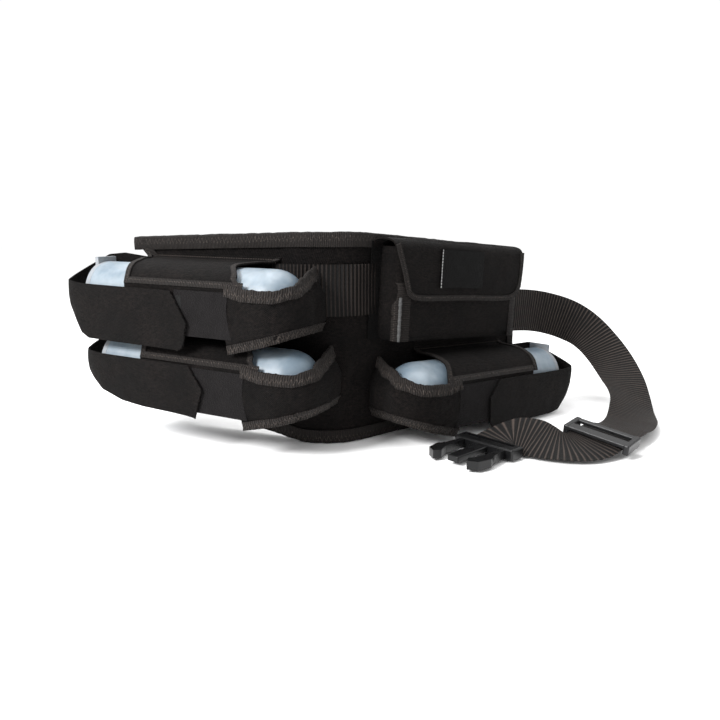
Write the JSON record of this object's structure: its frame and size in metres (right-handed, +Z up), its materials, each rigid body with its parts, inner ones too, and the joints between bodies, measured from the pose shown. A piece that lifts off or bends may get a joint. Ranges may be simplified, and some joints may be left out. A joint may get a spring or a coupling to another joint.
{
  "type": "waist belt with tube pouches",
  "caption": "Padded waist belt bent at the middle, with horizontal pouches holding lidded tubes, a flapped gear pouch, and a webbing strap with slide adjuster and side-release buckle.",
  "frame": {"origin": "centre of the belt's footprint on its lower binding, without the loose strap and what is on it", "axes": "+Z up from the lower edge to the upper edge; +X across the belt towards the strap end; +Y inward, towards the wearer"},
  "size_m": [0.6231, 0.2877, 0.2032],
  "materials": {
    "nylon": "coarse black woven nylon, matte",
    "binding_tape": "ribbed black grosgrain binding with stitching",
    "grey_piping": "thin light grey piping",
    "loop_tape": "fuzzy black loop tape",
    "hook_tape": "black hook tape",
    "webbing": "ribbed black webbing",
    "buckle_plastic": "satin black moulded plastic",
    "ribbed_elastic": "vertically ribbed black elastic",
    "foam": "closed-cell foam",
    "lining": "black spacer mesh",
    "label": "plain black woven patch",
    "pod_plastic": "frosted translucent plastic",
    "pod_lid": "frosted white plastic"
  },
  "bodies": {
    "belt": {"outer_panel": "nylon", "foam_core": "foam", "lining_panel": "lining", "binding_top": "binding_tape", "binding_bottom": "binding_tape", "binding_end_left": "binding_tape", "binding_end_right": "binding_tape", "elastic_band": "ribbed_elastic", "gear_back": "nylon", "gear_pouch": "nylon", "gear_edge_left": "binding_tape", "gear_edge_right": "binding_tape", "gear_piping": "grey_piping", "gear_loop_tape": "loop_tape", "buckle_tab": "webbing", "buckle_female": "buckle_plastic", "sleeve_upper_left": "nylon", "end_cup_upper_left": "nylon", "cup_binding_upper_left": "binding_tape", "cup_hem_upper_left": "binding_tape", "loop_panel_upper_left": "loop_tape", "flap_tab_upper_left": "nylon", "sleeve_lower_left": "nylon", "end_cup_lower_left": "nylon", "cup_binding_lower_left": "binding_tape", "cup_hem_lower_left": "binding_tape", "loop_panel_lower_left": "loop_tape", "flap_tab_lower_left": "nylon", "sleeve_right": "nylon", "end_cup_right": "nylon", "cup_binding_right": "binding_tape", "cup_hem_right": "binding_tape", "loop_panel_right": "loop_tape", "flap_tab_right": "nylon", "waist_strap": "webbing", "slide_adjuster": "buckle_plastic", "buckle_male": "buckle_plastic"},
    "flap_end_upper_left": {"flap_end_upper_left": "nylon"},
    "flap_front_upper_left": {"flap_front_upper_left": "nylon", "hook_patch_upper_left": "hook_tape"},
    "pod_upper_left": {"tube_upper_left": "pod_plastic"},
    "lid_upper_left": {"lid_upper_left": "pod_lid"},
    "flap_end_lower_left": {"flap_end_lower_left": "nylon"},
    "flap_front_lower_left": {"flap_front_lower_left": "nylon", "hook_patch_lower_left": "hook_tape"},
    "pod_lower_left": {"tube_lower_left": "pod_plastic"},
    "lid_lower_left": {"lid_lower_left": "pod_lid"},
    "flap_end_right": {"flap_end_right": "nylon"},
    "flap_front_right": {"flap_front_right": "nylon", "hook_patch_right": "hook_tape"},
    "pod_right": {"tube_right": "pod_plastic"},
    "lid_right": {"lid_right": "pod_lid"},
    "gear_flap_top": {"gear_flap_top": "nylon"},
    "gear_flap_front": {"gear_flap_front": "nylon", "gear_hook_tape": "hook_tape", "label_patch": "label"},
    "prong_a": {"buckle_prong_a": "buckle_plastic"},
    "prong_b": {"buckle_prong_b": "buckle_plastic"}
  },
  "joints": [
    {"name": "flap_swing_upper_left", "type": "hinge", "parent": "belt", "child": "flap_end_upper_left", "pos_m": [-0.24149, 0.04246, 0.14498], "axis": [-0.0158, 0.0073, -0.9998], "range_deg": [0, 107]},
    {"name": "flap_peel_upper_left", "type": "hinge", "parent": "flap_end_upper_left", "child": "flap_front_upper_left", "pos_m": [-0.26823, -0.01922, 0.14496], "axis": [-0.0158, 0.0073, -0.9998], "range_deg": [0, 100]},
    {"name": "pod_slide_upper_left", "type": "slide", "parent": "belt", "child": "pod_upper_left", "axis": [-0.9076, 0.4194, 0.0175], "range_m": [0, 0.02998]},
    {"name": "lid_tilt_upper_left", "type": "hinge", "parent": "pod_upper_left", "child": "lid_upper_left", "pos_m": [-0.23263, 0.00311, 0.11305], "axis": [-0.4195, -0.9078, 0], "range_deg": [0, 12]},
    {"name": "flap_swing_lower_left", "type": "hinge", "parent": "belt", "child": "flap_end_lower_left", "pos_m": [-0.22423, 0.03448, 0.07464], "axis": [-0.0253, 0.0117, -0.9996], "range_deg": [0, 107]},
    {"name": "flap_peel_lower_left", "type": "hinge", "parent": "flap_end_lower_left", "child": "flap_front_lower_left", "pos_m": [-0.25096, -0.0272, 0.0746], "axis": [-0.0253, 0.0117, -0.9996], "range_deg": [0, 100]},
    {"name": "pod_slide_lower_left", "type": "slide", "parent": "belt", "child": "pod_lower_left", "axis": [-0.9074, 0.4193, 0.0279], "range_m": [0, 0.02438]},
    {"name": "lid_tilt_lower_left", "type": "hinge", "parent": "pod_lower_left", "child": "lid_lower_left", "pos_m": [-0.22021, -0.00263, 0.04259], "axis": [-0.4195, -0.9078, 0], "range_deg": [0, 8]},
    {"name": "flap_swing_right", "type": "hinge", "parent": "belt", "child": "flap_end_right", "pos_m": [0.22744, 0.121, 0.04033], "axis": [0.0295, 0.0245, 0.9993], "range_deg": [0, 18]},
    {"name": "flap_peel_right", "type": "hinge", "parent": "flap_end_right", "child": "flap_front_right", "pos_m": [0.26837, 0.0692, 0.0404], "axis": [0.0295, 0.0245, 0.9993], "range_deg": [0, 12]},
    {"name": "pod_slide_right", "type": "slide", "parent": "belt", "child": "pod_right", "axis": [0.7688, 0.6383, -0.0384], "range_m": [0, 0.006]},
    {"name": "lid_tilt_right", "type": "hinge", "parent": "pod_right", "child": "lid_right", "pos_m": [0.22688, 0.08051, 0.00982], "axis": [-0.6388, 0.7694, 0], "range_deg": [0, 5]},
    {"name": "gear_flap_lift", "type": "hinge", "parent": "belt", "child": "gear_flap_top", "pos_m": [0.11339, 0.02398, 0.18972], "axis": [-0.768, -0.6376, 0.0593], "range_deg": [0, 80]},
    {"name": "gear_flap_fold", "type": "hinge", "parent": "gear_flap_top", "child": "gear_flap_front", "pos_m": [0.13184, 0.0016, 0.18792], "axis": [-0.768, -0.6376, 0.0593], "range_deg": [0, 90]},
    {"name": "prong_squeeze_a", "type": "hinge", "parent": "belt", "child": "prong_a", "pos_m": [0.12057, -0.0748, 0.0066], "axis": [0, 0, 1], "range_deg": [0, 7], "stiffness_Nm_per_rad": 0.25},
    {"name": "prong_squeeze_b", "type": "hinge", "parent": "belt", "child": "prong_b", "pos_m": [0.15103, -0.10792, 0.0066], "axis": [0, 0, -1], "range_deg": [0, 7], "stiffness_Nm_per_rad": 0.25}
  ],
  "couplings": [
    {"joint": "pod_slide_upper_left", "follows": "flap_swing_upper_left", "m_per_rad": 0.016},
    {"joint": "pod_slide_lower_left", "follows": "flap_swing_lower_left", "m_per_rad": 0.013}
  ]
}
